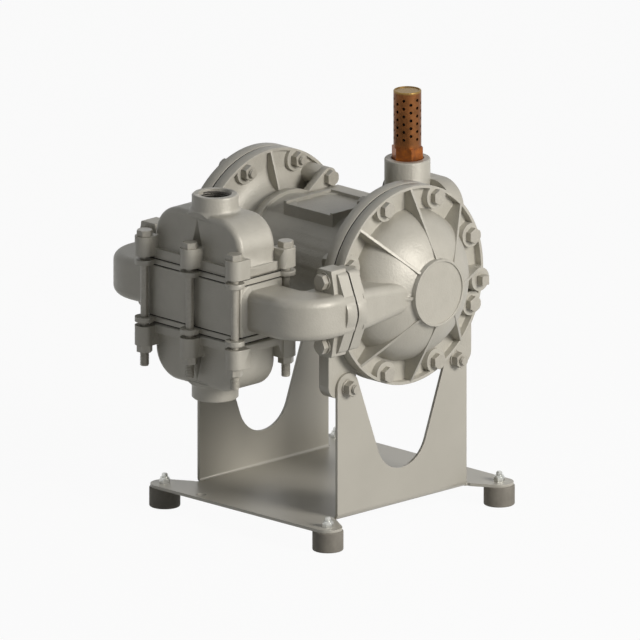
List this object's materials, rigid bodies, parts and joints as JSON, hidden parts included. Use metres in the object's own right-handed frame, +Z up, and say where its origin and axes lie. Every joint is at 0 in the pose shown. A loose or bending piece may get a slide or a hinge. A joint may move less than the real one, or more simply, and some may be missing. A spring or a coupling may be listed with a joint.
{
  "type": "air operated double diaphragm pump",
  "caption": "Air operated double diaphragm pump with ribbed round chambers, a front flap valve stack, a rear air valve with muffler, and a bent sheet frame on rubber feet.",
  "frame": {"origin": "floor under the centre of the whole pump, on the plane the rubber feet stand on", "axes": "+X along the diaphragm rod to the right-hand chamber, +Y towards the air valve at the back, +Z up"},
  "size_m": [0.3064, 0.3508, 0.41],
  "materials": {
    "painted_cast_iron": "satin",
    "painted_sheet_steel": "satin",
    "painted_hardware": "satin",
    "zinc_steel": "satin",
    "foot_rubber": "matte",
    "gasket_rubber": "matte",
    "diaphragm_rubber": "matte",
    "sintered_bronze": "matte",
    "bearing_bronze": "satin",
    "turned_steel": "satin",
    "black_acetal": "satin",
    "felt": "matte",
    "die_cast_aluminium": "satin"
  },
  "bodies": {
    "pump": {"support_frame": "painted_sheet_steel", "rubber_feet": "foot_rubber", "foot_studs": "zinc_steel", "foot_nuts": "zinc_steel", "frame_bolts": "painted_hardware", "frame_washers": "painted_hardware", "frame_nuts": "painted_hardware", "outer_cover_right": "painted_cast_iron", "outer_cover_left": "painted_cast_iron", "cover_plugs": "painted_hardware", "inner_chamber_right": "painted_cast_iron", "inner_chamber_left": "painted_cast_iron", "cover_bolts": "painted_hardware", "cover_nuts": "painted_hardware", "diaphragm_right": "diaphragm_rubber", "diaphragm_left": "diaphragm_rubber", "rod_bushings": "bearing_bronze", "rod_seals": "gasket_rubber", "pilot_bushings": "bearing_bronze", "centre_body": "painted_cast_iron", "chamber_bolts": "painted_hardware", "air_valve_gasket": "gasket_rubber", "air_valve_body": "painted_cast_iron", "air_valve_sleeve": "die_cast_aluminium", "air_valve_cap_right": "painted_cast_iron", "air_valve_cap_left": "painted_cast_iron", "end_cap_screws": "painted_hardware", "valve_bolts": "painted_hardware", "exhaust_muffler": "sintered_bronze", "muffler_felt": "felt", "discharge_cap": "painted_cast_iron", "suction_cap": "painted_cast_iron", "upper_seat_plate": "painted_cast_iron", "lower_seat_plate": "painted_cast_iron", "upper_gaskets": "gasket_rubber", "lower_gaskets": "gasket_rubber", "flap_pins": "turned_steel", "valve_body_right": "painted_cast_iron", "valve_body_left": "painted_cast_iron", "elbow_gaskets": "gasket_rubber", "flange_bolts": "painted_hardware", "flange_washers": "painted_hardware", "flange_nuts": "painted_hardware", "tie_bolts": "painted_hardware", "tie_nuts": "painted_hardware"},
    "shuttle": {"diaphragm_rod": "turned_steel", "inner_plate_right": "turned_steel", "inner_plate_left": "turned_steel", "outer_plate_right": "turned_steel", "outer_plate_left": "turned_steel"},
    "pilot": {"pilot_plunger": "turned_steel"},
    "spool": {"air_valve_spool": "black_acetal"},
    "discharge_flap_right": {"discharge_flap_right": "black_acetal"},
    "discharge_flap_left": {"discharge_flap_left": "black_acetal"},
    "suction_flap_right": {"suction_flap_right": "black_acetal"},
    "suction_flap_left": {"suction_flap_left": "black_acetal"}
  },
  "joints": [
    {"name": "diaphragm_stroke", "type": "slide", "parent": "pump", "child": "shuttle", "axis": [1, 0, 0], "range_m": [-0.009, 0.009], "deforming": ["diaphragm_right", "diaphragm_left"]},
    {"name": "pilot_shift", "type": "slide", "parent": "pump", "child": "pilot", "axis": [1, 0, 0], "range_m": [-0.004, 0.004]},
    {"name": "spool_shift", "type": "slide", "parent": "pump", "child": "spool", "axis": [1, 0, 0], "range_m": [-0.008, 0.008]},
    {"name": "discharge_flap_right_swing", "type": "hinge", "parent": "pump", "child": "discharge_flap_right", "pos_m": [0.032, -0.1456, 0.2863], "axis": [1, 0, 0], "range_deg": [0, 40]},
    {"name": "discharge_flap_left_swing", "type": "hinge", "parent": "pump", "child": "discharge_flap_left", "pos_m": [-0.032, -0.1456, 0.2863], "axis": [1, 0, 0], "range_deg": [0, 40]},
    {"name": "suction_flap_right_swing", "type": "hinge", "parent": "pump", "child": "suction_flap_right", "pos_m": [0.032, -0.1456, 0.2267], "axis": [1, 0, 0], "range_deg": [0, 40]},
    {"name": "suction_flap_left_swing", "type": "hinge", "parent": "pump", "child": "suction_flap_left", "pos_m": [-0.032, -0.1456, 0.2267], "axis": [1, 0, 0], "range_deg": [0, 40]}
  ],
  "couplings": [
    {"joint": "pilot_shift", "follows": "diaphragm_stroke", "ratio": 0.44444}
  ]
}
